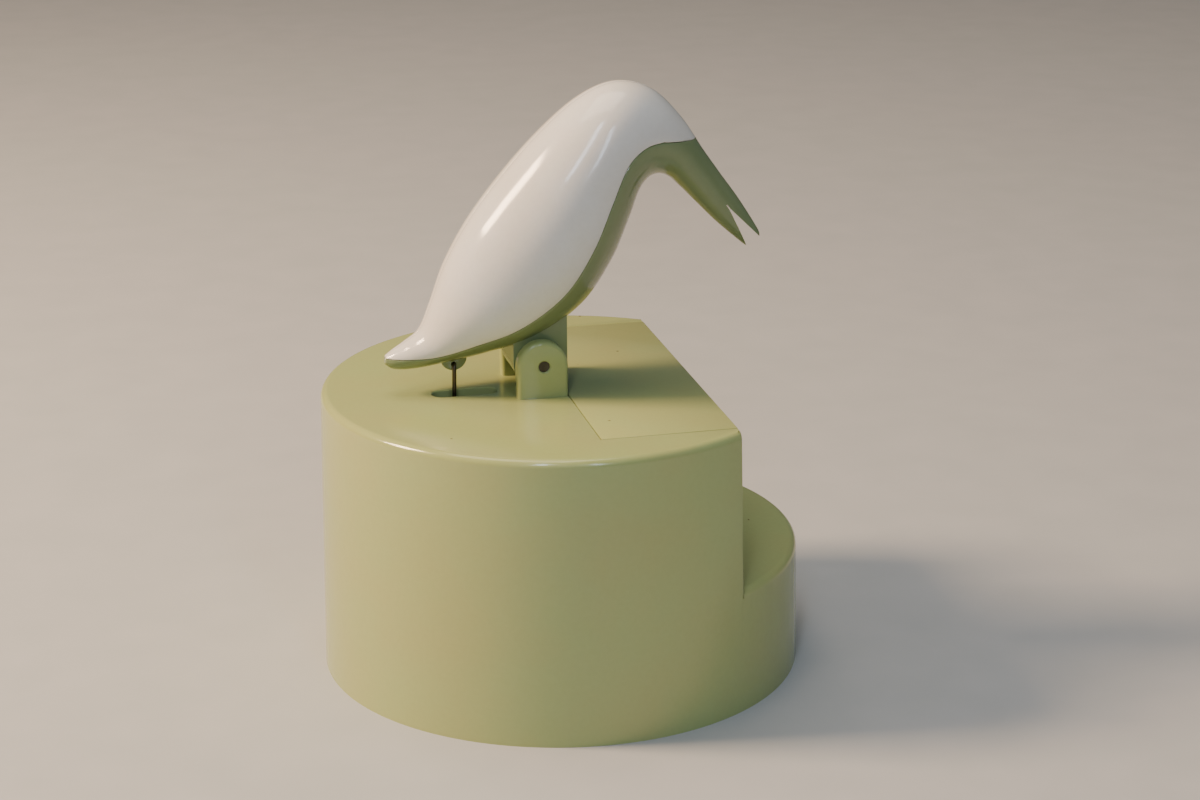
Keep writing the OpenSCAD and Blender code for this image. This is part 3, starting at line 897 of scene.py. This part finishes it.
    def shell(self) -> bpy.types.Object:
        """Builds the shell with its ears.

        Returns:
            The finished shell.
        """
        shell = self._outer()
        shell.name = shell.data.name = "drum_shell"
        hollow = self._drum("hollow", self.under, self.wall, 0, -2)
        carve(shell, carve(hollow, self._front(self.wall, self.step - self.wall)))
        self._inside(shell)
        for side in Side:
            carve(shell, self._ear(side), Merge.JOIN)
        self._open_for_lid(shell)
        carve(shell, self._slot_cutter())
        self._drill(shell)
        half, low, high = self.slit
        behind, past = 2, 8
        carve(shell, block("slit", (self.inner - behind, -half, low), (self.inner + past, half, high)))
        return smoothed(shell, 25)

    def lid(self) -> bpy.types.Object:
        """Builds the lid, which slides forward on two side tongues.

        Returns:
            The finished lid.
        """
        back, half = self.lid_back, self.lid_half
        lid = block("lid_panel", (back, -half, self.under + 0.1), (self.front_x, half, self.height))
        deep, low, high = self.tongue
        ends = (back, -half - deep, self.under + low), (self.front_x, half + deep, self.under + high)
        carve(lid, block("tongues", *ends), Merge.JOIN)
        self._lean_forward(lid, lambda x: x > self.front_x / 2)
        return smoothed(rounded(lid, self.lid_soft, 2, 40), 40)


# ---- The bird -------------------------------------------------------------------------------------


@dataclass(frozen=True)
class Station:
    """One section of the bird.

    Attributes:
        x: Place of its middle along the dispenser.
        z: Height of its middle.
        tilt: Angle of its upward direction from +X, in degrees.
        tall: Half its height.
        wide: Half its width.
        joint: Angle from its top at which white meets green, in degrees.
    """

    x: float
    z: float
    tilt: float
    tall: float
    wide: float
    joint: float

    def values(self) -> tuple[float, ...]:
        """The six numbers in order."""
        return (self.x, self.z, self.tilt, self.tall, self.wide, self.joint)


Ring = list[tuple[float, float]]  # angles from the top in degrees, each with an inset in mm


@dataclass
class PeckingBird:
    """The bird: a green belly with the beak, foot and tail lug, and two white shells over its back.

    A place along the bird is counted in stations, from 0 at the tail's tip.
    """

    stations: tuple[Station, ...] = (
        Station(-36.8, 68.3, 79, 0.9, 1.2, 66),
        Station(-35.1, 68.2, 91, 2.0, 2.4, 77),
        Station(-31.6, 68.9, 112, 3.0, 3.9, 92),
        Station(-26.6, 70.7, 129, 4.5, 5.8, 109),
        Station(-21.2, 74.4, 135, 8.0, 8.6, 115),
        Station(-14.6, 79.7, 139, 12.3, 11.7, 120),
        Station(-7.0, 87.5, 141, 14.9, 13.9, 121),
        Station(-0.1, 96.6, 138, 14.7, 14.2, 118),
        Station(5.9, 105.1, 131, 13.2, 13.0, 112),
        Station(11.1, 111.4, 120, 11.6, 11.4, 106),
        Station(15.9, 114.0, 107, 10.6, 9.8, 103),
        Station(20.7, 113.4, 95, 9.0, 8.0, 96),
        Station(24.9, 110.0, 80, 6.6, 6.2, 72),
        Station(28.4, 105.5, 63, 4.8, 4.7, 6),
        Station(31.9, 101.1, 50, 4.0, 3.6, 0),
        Station(36.6, 95.5, 49, 3.4, 2.9, 0),
        Station(41.8, 89.4, 51, 2.2, 1.8, 0),
        Station(42.7, 88.3, 52, 1.4, 1.1, 0),
    )
    tip_l: float = 0.2  # how far the tail's rounded tip reaches, in stations
    tip_in: float = 0.3
    close_rings: Pair = (12.0, 12.4)  # from where the rings lie closer, and closer still, in stations
    brow: float = 11.0  # where the joint starts to sweep up over the head, in stations
    crown_end: float = 12.7  # where it meets the top, in stations
    crown_t: float = 1.2
    recess: float = 1.4
    soft: float = 0.2
    seam: float = 0.1  # half the gap between the white shells, and the gap over the green
    crease: float = 0.16
    front_edge: float = 0.04  # length of the shells' rounded front edge, in stations
    pivot: Pair = (-5.2, 67.2)
    pin_r: float = 1.2
    foot_half: float = 6.3
    foot_r: float = 5.7
    foot_top: Pair = (77.4, 72.4)  # height of its neck, in front and behind
    lug: Pair = (-22.6, 68.0)
    lug_r: float = 2.8
    lug_half: float = 1.4
    eye: Pair = (-22.6, 66.6)
    eye_r: float = 0.55
    mouth_apex: Pair = (35.6, 97.3)
    mouth_turn: float = -53.6
    mouth_l: float = 10.7
    mouth_w: float = 3.3
    slit_l: float = 1.6
    slit_half: float = 0.13

    def section(self, s: float) -> list[float]:
        """The section at a place, smoothly interpolated.

        Args:
            s: Place along the bird.

        Returns:
            The section's six numbers.
        """
        last = len(self.stations) - 1
        i = min(int(math.floor(s)), last - 1)
        t = s - i
        rows = [self.stations[min(max(i + k, 0), last)].values() for k in (-1, 0, 1, 2)]
        return [
            0.5 * (2 * b + (c - a) * t + (2 * a - 5 * b + 4 * c - d) * t * t + (3 * b - a - 3 * c + d) * t**3)
            for a, b, c, d in zip(*rows)
        ]

    def joint(self, s: float) -> float:
        """The angle from the top at which white meets green.

        Args:
            s: Place along the bird.

        Returns:
            The angle in degrees. Over the head it sweeps up to 0, level at first and then steep.
        """
        if s >= self.crown_end:
            return 0.0
        if s > self.brow:
            t = (s - self.brow) / (self.crown_end - self.brow)
            return self.section(self.brow)[5] * (1 - t**1.5) ** 0.48
        return self.section(s)[5]

    def skin(self, s: float, angle: float, inset: float) -> Vector:
        """A point of the bird's surface.

        Args:
            s: Place along the bird.
            angle: Angle from the section's top, in degrees.
            inset: How far it is set in, in mm.

        Returns:
            The point in metres.
        """
        x, z, tilt, tall, wide, _ = self.section(s)
        least = 0.3  # share of the section that an inset leaves
        tall, wide = max(tall - inset, tall * least), max(wide - inset, wide * least)
        a, t = math.radians(angle), math.radians(tilt)
        h = tall * math.cos(a)
        return Vector((x + h * math.cos(t), wide * math.sin(a), z + h * math.sin(t))) * MM

    @staticmethod
    def _places(spans: Sequence[tuple[float, float, int]]) -> list[float]:
        """Evenly spaced places through spans of (start, end, count)."""
        return [a + (b - a) * k / n for a, b, n in spans for k in range(n)]

    @staticmethod
    def _lip(edge: float, turn: float, soft: float) -> Ring:
        """A rounded edge, from its side wall out to the surface.

        Args:
            edge: Angle of the edge, in degrees.
            turn: Signed angle that the rounding takes.
            soft: Radius of the rounding, in mm.

        Returns:
            Its points.
        """
        bends = [math.pi / 6 * k for k in range(4)]
        return [(edge + turn * (1 - math.cos(a)), soft * (1 - math.sin(a))) for a in bends]

    @staticmethod
    def _arc(first: float, last: float, steps: int) -> list[float]:
        """Angles between two ends, without the ends."""
        return [first + (last - first) * k / steps for k in range(1, steps)]

    def _nose(self, s: float) -> float:
        """How far the surface is drawn in near the tail's tip, in mm, so that the tip is round."""
        past = 1 - min(s / self.tip_l, 1.0)
        return self.tip_in * (1 - math.sqrt(max(1 - past * past, 0)))

    def _loft(
        self,
        name: str,
        places: Sequence[float],
        ring: Callable[[float], Ring],
        side: Side = Side.LEFT,
    ) -> bpy.types.Object:
        """A closed form through rings of the bird's surface.

        Args:
            name: Name of the object.
            places: Where the rings lie.
            ring: Gives the ring at a place.
            side: RIGHT to mirror the form.

        Returns:
            The form.
        """
        rings = [[self.skin(s, angle, inset) for angle, inset in ring(s)] for s in places]
        columns = len(rings[0]) + 1
        deselect()
        bpy.ops.mesh.primitive_grid_add(x_subdivisions=columns - 1, y_subdivisions=len(rings) - 1, size=1)
        form = made(name)
        for index, vertex in enumerate(form.data.vertices):
            x, y, z = rings[index // columns][index % columns % (columns - 1)]
            vertex.co = (x, y * side.value, z)
        activate(form)
        bpy.ops.object.mode_set(mode="EDIT")
        bpy.ops.mesh.select_mode(type="VERT")
        bpy.ops.mesh.select_all(action="SELECT")
        bpy.ops.mesh.remove_doubles(threshold=0.004 * MM)
        bpy.ops.mesh.select_all(action="DESELECT")
        bpy.ops.mesh.select_non_manifold(
            extend=False, use_wire=False, use_multi_face=False, use_non_contiguous=False, use_verts=False
        )
        bpy.ops.mesh.fill_holes(sides=0)
        bpy.ops.mesh.select_all(action="SELECT")
        bpy.ops.mesh.normals_make_consistent(inside=False)
        bpy.ops.object.mode_set(mode="OBJECT")
        return form

    def _crown_ring(self, s: float) -> Ring:
        """The ring of one white shell, with both its edges rounded.

        Args:
            s: Place along the bird.

        Returns:
            Its outside from the seam down to the joint, and its inside back up.
        """
        _, _, _, tall, wide, _ = self.section(s)
        size = (tall + wide) / 2
        thick = min(self.crown_t, 0.4 * tall)
        top = math.degrees(self.seam / wide)
        low = max(self.joint(s) - math.degrees(self.seam / size), top + 1.0)
        soft = min(self.soft, 0.5 * thick, 0.35 * math.radians(low - top) * size)
        turn = math.degrees(soft / size)
        past = max(0.0, (s - self.crown_end) / self.front_edge + 1)
        sunk = min(0.5 * thick, self.soft * (1 - math.sqrt(max(1 - past * past, 0)))) + self._nose(s)
        fine = min(self.crease, soft)
        first, last = top + turn * fine / max(soft, 0.001), low - turn
        outside = self._lip(top, first - top, fine)
        outside += [(angle, 0.0) for angle in self._arc(first, last, 24)]
        outside += reversed(self._lip(low, -turn, soft))
        inside = [(low + (top - low) * k / 9, thick) for k in range(10)]
        return [(angle, min(inset + sunk, thick * 0.9)) for angle, inset in outside] + inside

    def crown(self, side: Side) -> bpy.types.Object:
        """Builds one white shell.

        Args:
            side: The side that it lies on.

        Returns:
            The finished shell, a thick skin with softly rounded edges.
        """
        end = self.crown_end
        edge, tip = end - self.front_edge, end - 0.002
        close, closer = self.close_rings
        spans = [(0.0, self.tip_l, 6), (self.tip_l, close, 94), (close, closer, 8)]
        spans += [(closer, edge, 12), (edge, tip, 5)]
        name = "crown_left" if side is Side.LEFT else "crown_right"
        return smoothed(self._loft(name, self._places(spans) + [tip], self._crown_ring, side), 50)

    def _body_ring(self, s: float) -> Ring:
        """The ring of the green body, which is sunk where the white shells lie on it.

        Args:
            s: Place along the bird.

        Returns:
            Its outside from one joint round to the other, and the sunk stretch over its back.
        """
        _, _, _, tall, wide, _ = self.section(s)
        joint, size, nose = self.joint(s), (tall + wide) / 2, self._nose(s)
        depth = min(self.recess, 0.5 * tall) * min(max((self.crown_end - s) / 0.05, 0.0), 1.0)
        soft = min(self.soft, 0.5 * depth)
        turn = math.degrees(soft / size)
        ring = self._lip(joint, turn, soft)
        ring += [(angle, 0.0) for angle in self._arc(joint + turn, 360 - joint - turn, 40)]
        ring += reversed(self._lip(360 - joint, -turn, soft))
        back = [(360 - joint + 2 * joint * k / 15, depth + 0.5 * nose) for k in range(16)]
        return [(angle, inset + nose) for angle, inset in ring] + back

    def _trunk(self) -> bpy.types.Object:
        """The green body as a closed form, sunk under the white shells and full in the belly and beak.

        Returns:
            The form.
        """
        last = len(self.stations) - 1.0
        end = self.crown_end
        past = end + 0.08
        close, closer = self.close_rings
        spans = [(0.0, self.tip_l, 6), (self.tip_l, close, 83), (close, closer, 8)]
        spans += [(closer, end, 14), (end, past, 3), (past, last, 44)]
        return self._loft("bird_body", self._places(spans) + [last], self._body_ring)

    def _foot(self) -> bpy.types.Object:
        """The foot between the ears, with a round lower end and an upright front.

        Returns:
            The foot.
        """
        x, z = self.pivot
        half, r = self.foot_half, self.foot_r
        front, back = self.foot_top
        foot = bar("foot", (x, -half, z), r, 2 * half, Axis.Y, sides=96)
        neck = block("neck", (x - r, -half, z), (x + r, half, front))
        for vertex in neck.data.vertices:
            if vertex.co.x < x * MM and vertex.co.z > (z + 1) * MM:
                vertex.co.z = back * MM
        carve(foot, neck, Merge.JOIN)
        return rounded(cleaned(foot), 0.3, 3, 60)

    def _mouth(self) -> bpy.types.Object:
        """The wedge that splits the beak into two jaws, with a fine slit at its inner end.

        Returns:
            The cutter.
        """
        across = 10
        start, start_half, past = 1.2, 0.14, self.mouth_l + 5
        mouth = block("mouth", (start, -across, -start_half), (past, across, start_half))
        for vertex in mouth.data.vertices:
            if vertex.co.x > (start + 1) * MM:
                vertex.co.z = math.copysign((self.mouth_w / 2 + 0.8) * MM, vertex.co.z)
        slit = block("slit", (0, -across, -self.slit_half), (self.slit_l, across, self.slit_half))
        carve(mouth, slit, Merge.JOIN)
        x, z = self.mouth_apex
        turn = Matrix.Rotation(math.radians(-self.mouth_turn), 4, "Y")
        mouth.data.transform(Matrix.Translation((x * MM, 0, z * MM)) @ turn)
        return mouth

    def belly(self) -> bpy.types.Object:
        """Builds the green part.

        Returns:
            The finished piece with its foot, tail lug, pivot hole and mouth.
        """
        body = self._trunk()
        carve(body, self._foot(), Merge.JOIN)
        x, z = self.lug
        lug = bar("lug", (x, -self.lug_half, z), self.lug_r, 2 * self.lug_half, Axis.Y)
        carve(body, rounded(lug, 0.25, 3, 60), Merge.JOIN)
        carve(body, self._mouth())
        x, z = self.pivot
        carve(body, bar("hole", (x, -10, z), self.pin_r, 20, Axis.Y, sides=48))
        x, z = self.eye
        carve(body, bar("eye", (x, -5, z), self.eye_r, 10, Axis.Y, sides=32))
        return smoothed(body, 30)


# ---- Rod, spring and inner parts ------------------------------------------------------------------


@dataclass
class TailRod:
    """The bent wire between the tail and the bell crank."""

    radius: float = 0.45
    y: float = -2.0
    hook: float = 2.1
    bend: float = 0.9
    top: Pair = (-22.6, 66.6)
    foot: Pair = (-23.525, 20.129)

    def _corner(self, at: Vector, first: Vector, last: Vector) -> list[Vector]:
        """A quarter bend.

        Args:
            at: The corner that it rounds.
            first: Direction from the corner back along the wire.
            last: Direction from the corner on along the wire.

        Returns:
            Points through the bend.
        """
        back, on = first * self.bend, last * self.bend
        turns = [math.pi / 2 * k / 8 for k in range(9)]
        return [at + back * (1 - math.sin(a)) + on * (1 - math.cos(a)) for a in turns]

    def build(self) -> bpy.types.Object:
        """Builds the wire with a hook bent sideways at each end.

        Returns:
            The finished wire.
        """
        top = Vector((self.top[0], 0, self.top[1]))
        foot = Vector((self.foot[0], 0, self.foot[1]))
        down = (foot - top).normalized()
        side = Vector((0, 1, 0))
        path = [top + side * self.hook]
        path += self._corner(top + side * self.y, side, down)
        path += self._corner(foot + side * self.y, -down, side)
        path.append(foot + side * self.hook)
        return wire("rod_wire", [tuple(p) for p in path], self.radius, 6)


@dataclass
class ReturnSpring:
    """The compression spring that pushes the slide back."""

    start: float = 0.05
    end: float = 25.5
    z: float = 29.0
    radius: float = 2.65
    wire_r: float = 0.25
    coils: int = 9
    closed: float = 0.9  # coils that lie flat at each end
    closed_rise: float = 0.55
    points: int = 28  # in each coil

    def build(self) -> bpy.types.Object:
        """Builds the spring with a closed, flat coil at each end.

        Returns:
            The finished spring.
        """
        path = []
        count = self.coils * self.points
        low, high = self.start + self.wire_r, self.end - self.wire_r
        free = high - low - 2 * self.closed_rise
        for k in range(count + 1):
            turns = k / count * self.coils
            ease = min(max((turns - self.closed) / (self.coils - 2 * self.closed), 0), 1)
            ends = min(turns, self.closed) + max(turns - self.coils + self.closed, 0)
            x = low + self.closed_rise * ends / self.closed + free * ease
            turn = 2 * math.pi * turns
            path.append((x, self.radius * math.cos(turn), self.z + self.radius * math.sin(turn)))
        return wire("spring_coil", path, self.wire_r, 3)


@dataclass
class InnerWorks:
    """The moulded and metal parts inside the drum, dressed on their plain solids."""

    finishes: Finishes

    @staticmethod
    def softened(node: str, name: str, width: float) -> bpy.types.Object:
        """A copy of a plain solid with its edges rounded.

        Args:
            node: Name of the solid.
            name: Name of the copy.
            width: Size of the rounding in mm.

        Returns:
            The copy.
        """
        deselect()
        copy = bpy.data.objects.new(name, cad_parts[node].data.copy())
        bpy.context.scene.collection.objects.link(copy)
        return smoothed(rounded(cleaned(copy, 0.002, 1.0), width, 2, 50), 35)

    def build(self) -> None:
        """Softens the two largest parts, and gives the others their finishes."""
        f = self.finishes
        slide = self.softened("feed_slide", "slide_plate", 0.2)
        settle(slide, "slide", "sage_slide", f.slide, "feed_slide")
        foot = self.softened("bottom_plate", "foot_plate", 0.2)
        settle(foot, "base", "sage_under", f.under, "bottom_plate")
        plain = {
            "hopper": f.ivory,
            "slide_rail_left": f.ivory,
            "slide_rail_right": f.ivory,
            "bell_crank": f.ivory,
            "crank_bracket": f.plate,
            "crank_pin": f.plate,
            "crank_pin_clips": f.pin,
            "drive_pin": f.pin,
            "plate_screws": f.screw,
            "hopper_screws": f.screw,
            "rail_screws": f.screw,
            "bracket_screws": f.screw,
            "rest_bumper": f.rubber,
            "pivot_pin": f.pin,
        }
        for node, look in plain.items():
            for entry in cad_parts[node].material_slots:
                entry.material = look
            log.info("%s keeps its solid", node)


# ---- Studio ---------------------------------------------------------------------------------------


@dataclass(frozen=True)
class Lamp:
    """A soft rectangular light, with its place and size in metres and its power in watts."""

    name: str
    place: Point
    size: Pair
    power: float
    colour: str

    def hang(self, target: Point) -> None:
        """Adds the light.

        Args:
            target: The point that it shines at, in metres.
        """
        deselect()
        bpy.ops.object.light_add(type="AREA", location=self.place)
        lamp = bpy.context.object
        lamp.name = self.name
        lamp.data.shape = "RECTANGLE"
        lamp.data.size, lamp.data.size_y = self.size
        lamp.data.energy = self.power
        lamp.data.color = linear(self.colour)[:3]
        lamp.rotation_mode = "QUATERNION"
        lamp.rotation_quaternion = (Vector(target) - Vector(self.place)).to_track_quat("-Z", "Y")


@dataclass
class Studio:
    """A plain pale floor, soft lights and the camera, in metres."""

    floor_size: float = 8.0
    floor_tones: tuple[str, str] = ("#b5b7b9", "#babbbd")
    lamps: tuple[Lamp, ...] = (
        Lamp("key", (-0.76, 0.15, 0.64), (0.22, 0.30), 18.5, "#ffd9ae"),
        Lamp("strip_high", (-0.30, -0.75, 0.85), (0.10, 0.55), 2.4, "#dcebff"),
        Lamp("strip_front", (0.10, -0.95, 0.62), (0.07, 0.50), 1.3, "#d4e6ff"),
        Lamp("above", (-0.15, 0.10, 1.15), (0.7, 0.7), 6.5, "#ffeed8"),
        Lamp("fill", (-0.25, -1.05, 0.45), (0.9, 0.7), 1.0, "#d5e4ee"),
        Lamp("side", (0.95, -0.25, 0.60), (0.8, 0.8), 0.2, "#c6dcea"),
    )
    lit: Point = (0.0, 0.0, 0.07)
    surround: str = "#a3bccb"
    surround_strength: float = 0.16
    lens: float = 81.97
    place: Point = (-0.11895, -0.53476, 0.23896)
    right: Point = (0.97223, -0.23403, -0.00437)
    up: Point = (0.07804, 0.30651, 0.94867)

    def floor(self) -> None:
        """Lays the floor: painted board, matt, with a hardly visible mottle."""
        deselect()
        bpy.ops.mesh.primitive_plane_add(size=self.floor_size)
        floor = made("studio_floor")
        look, tree, place = blank("painted_board_pale")
        noise = add(tree, "ShaderNodeTexNoise", {"Vector": place, "Scale": 60.0, "Detail": 3.0})
        share = add(tree, "ShaderNodeMapRange", span(noise, (0.3, 0.7), (0.0, 1.0)))
        light, dark = (linear(tone) for tone in self.floor_tones)
        colour = add(tree, "ShaderNodeMix", {0: share, 6: light, 7: dark}, data_type="RGBA").outputs[2]
        shader = add(tree, "ShaderNodeBsdfPrincipled", {"Base Color": colour, "Roughness": 0.7})
        add(tree, "ShaderNodeOutputMaterial", {"Surface": shader})
        floor.data.materials.append(look)

    def lights(self) -> None:
        """Hangs a warm key on the left, cool strips, soft fills and a light above, in a pale surround."""
        for lamp in self.lamps:
            lamp.hang(self.lit)
        world = bpy.data.worlds.new("surround")
        world.use_nodes = True
        background = world.node_tree.nodes["Background"]
        background.inputs[0].default_value = linear(self.surround)
        background.inputs[1].default_value = self.surround_strength
        bpy.context.scene.world = world

    def camera(self) -> None:
        """Sets the camera at the photograph's angle."""
        deselect()
        bpy.ops.object.camera_add(location=self.place)
        camera = bpy.context.object
        camera.name = "camera"
        right, up = Vector(self.right).normalized(), Vector(self.up).normalized()
        back = right.cross(up).normalized()
        up = back.cross(right).normalized()
        camera.rotation_mode = "QUATERNION"
        camera.rotation_quaternion = Matrix((right, up, back)).transposed().to_quaternion()
        camera.data.sensor_width = 36.0
        camera.data.lens = self.lens
        camera.data.clip_start, camera.data.clip_end = 0.01, 20.0
        bpy.context.scene.camera = camera

    def build(self) -> None:
        """Builds the floor, the lights and the camera."""
        self.floor()
        self.lights()
        self.camera()


def main() -> None:
    """Builds the dispenser, piece by piece, and its studio."""
    logging.basicConfig(level=logging.INFO, format="%(name)s: %(message)s")
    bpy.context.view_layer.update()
    studio = Studio()
    studio.build()
    finishes = Finishes()

    drum = DrumBox()
    settle(drum.shell(), "base", "sage_shell", finishes.shell, "base_shell")
    settle(drum.lid(), "lid", "sage_lid", finishes.lid, "hopper_lid")

    bird = PeckingBird()
    settle(bird.belly(), "bird", "sage_belly", finishes.belly, "bird_belly")
    settle(bird.crown(Side.LEFT), "bird", "white_shell", finishes.white, "bird_crown_left")
    settle(bird.crown(Side.RIGHT), "bird", "white_shell", finishes.white, "bird_crown_right")

    settle(TailRod().build(), "rod", "rod_wire", finishes.rod, "tail_rod")
    spring = settle(ReturnSpring().build(), "base", "spring_steel", finishes.spring, "return_spring")
    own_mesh(spring)
    InnerWorks(finishes).build()

    deselect()


if __name__ == "__main__":
    main()
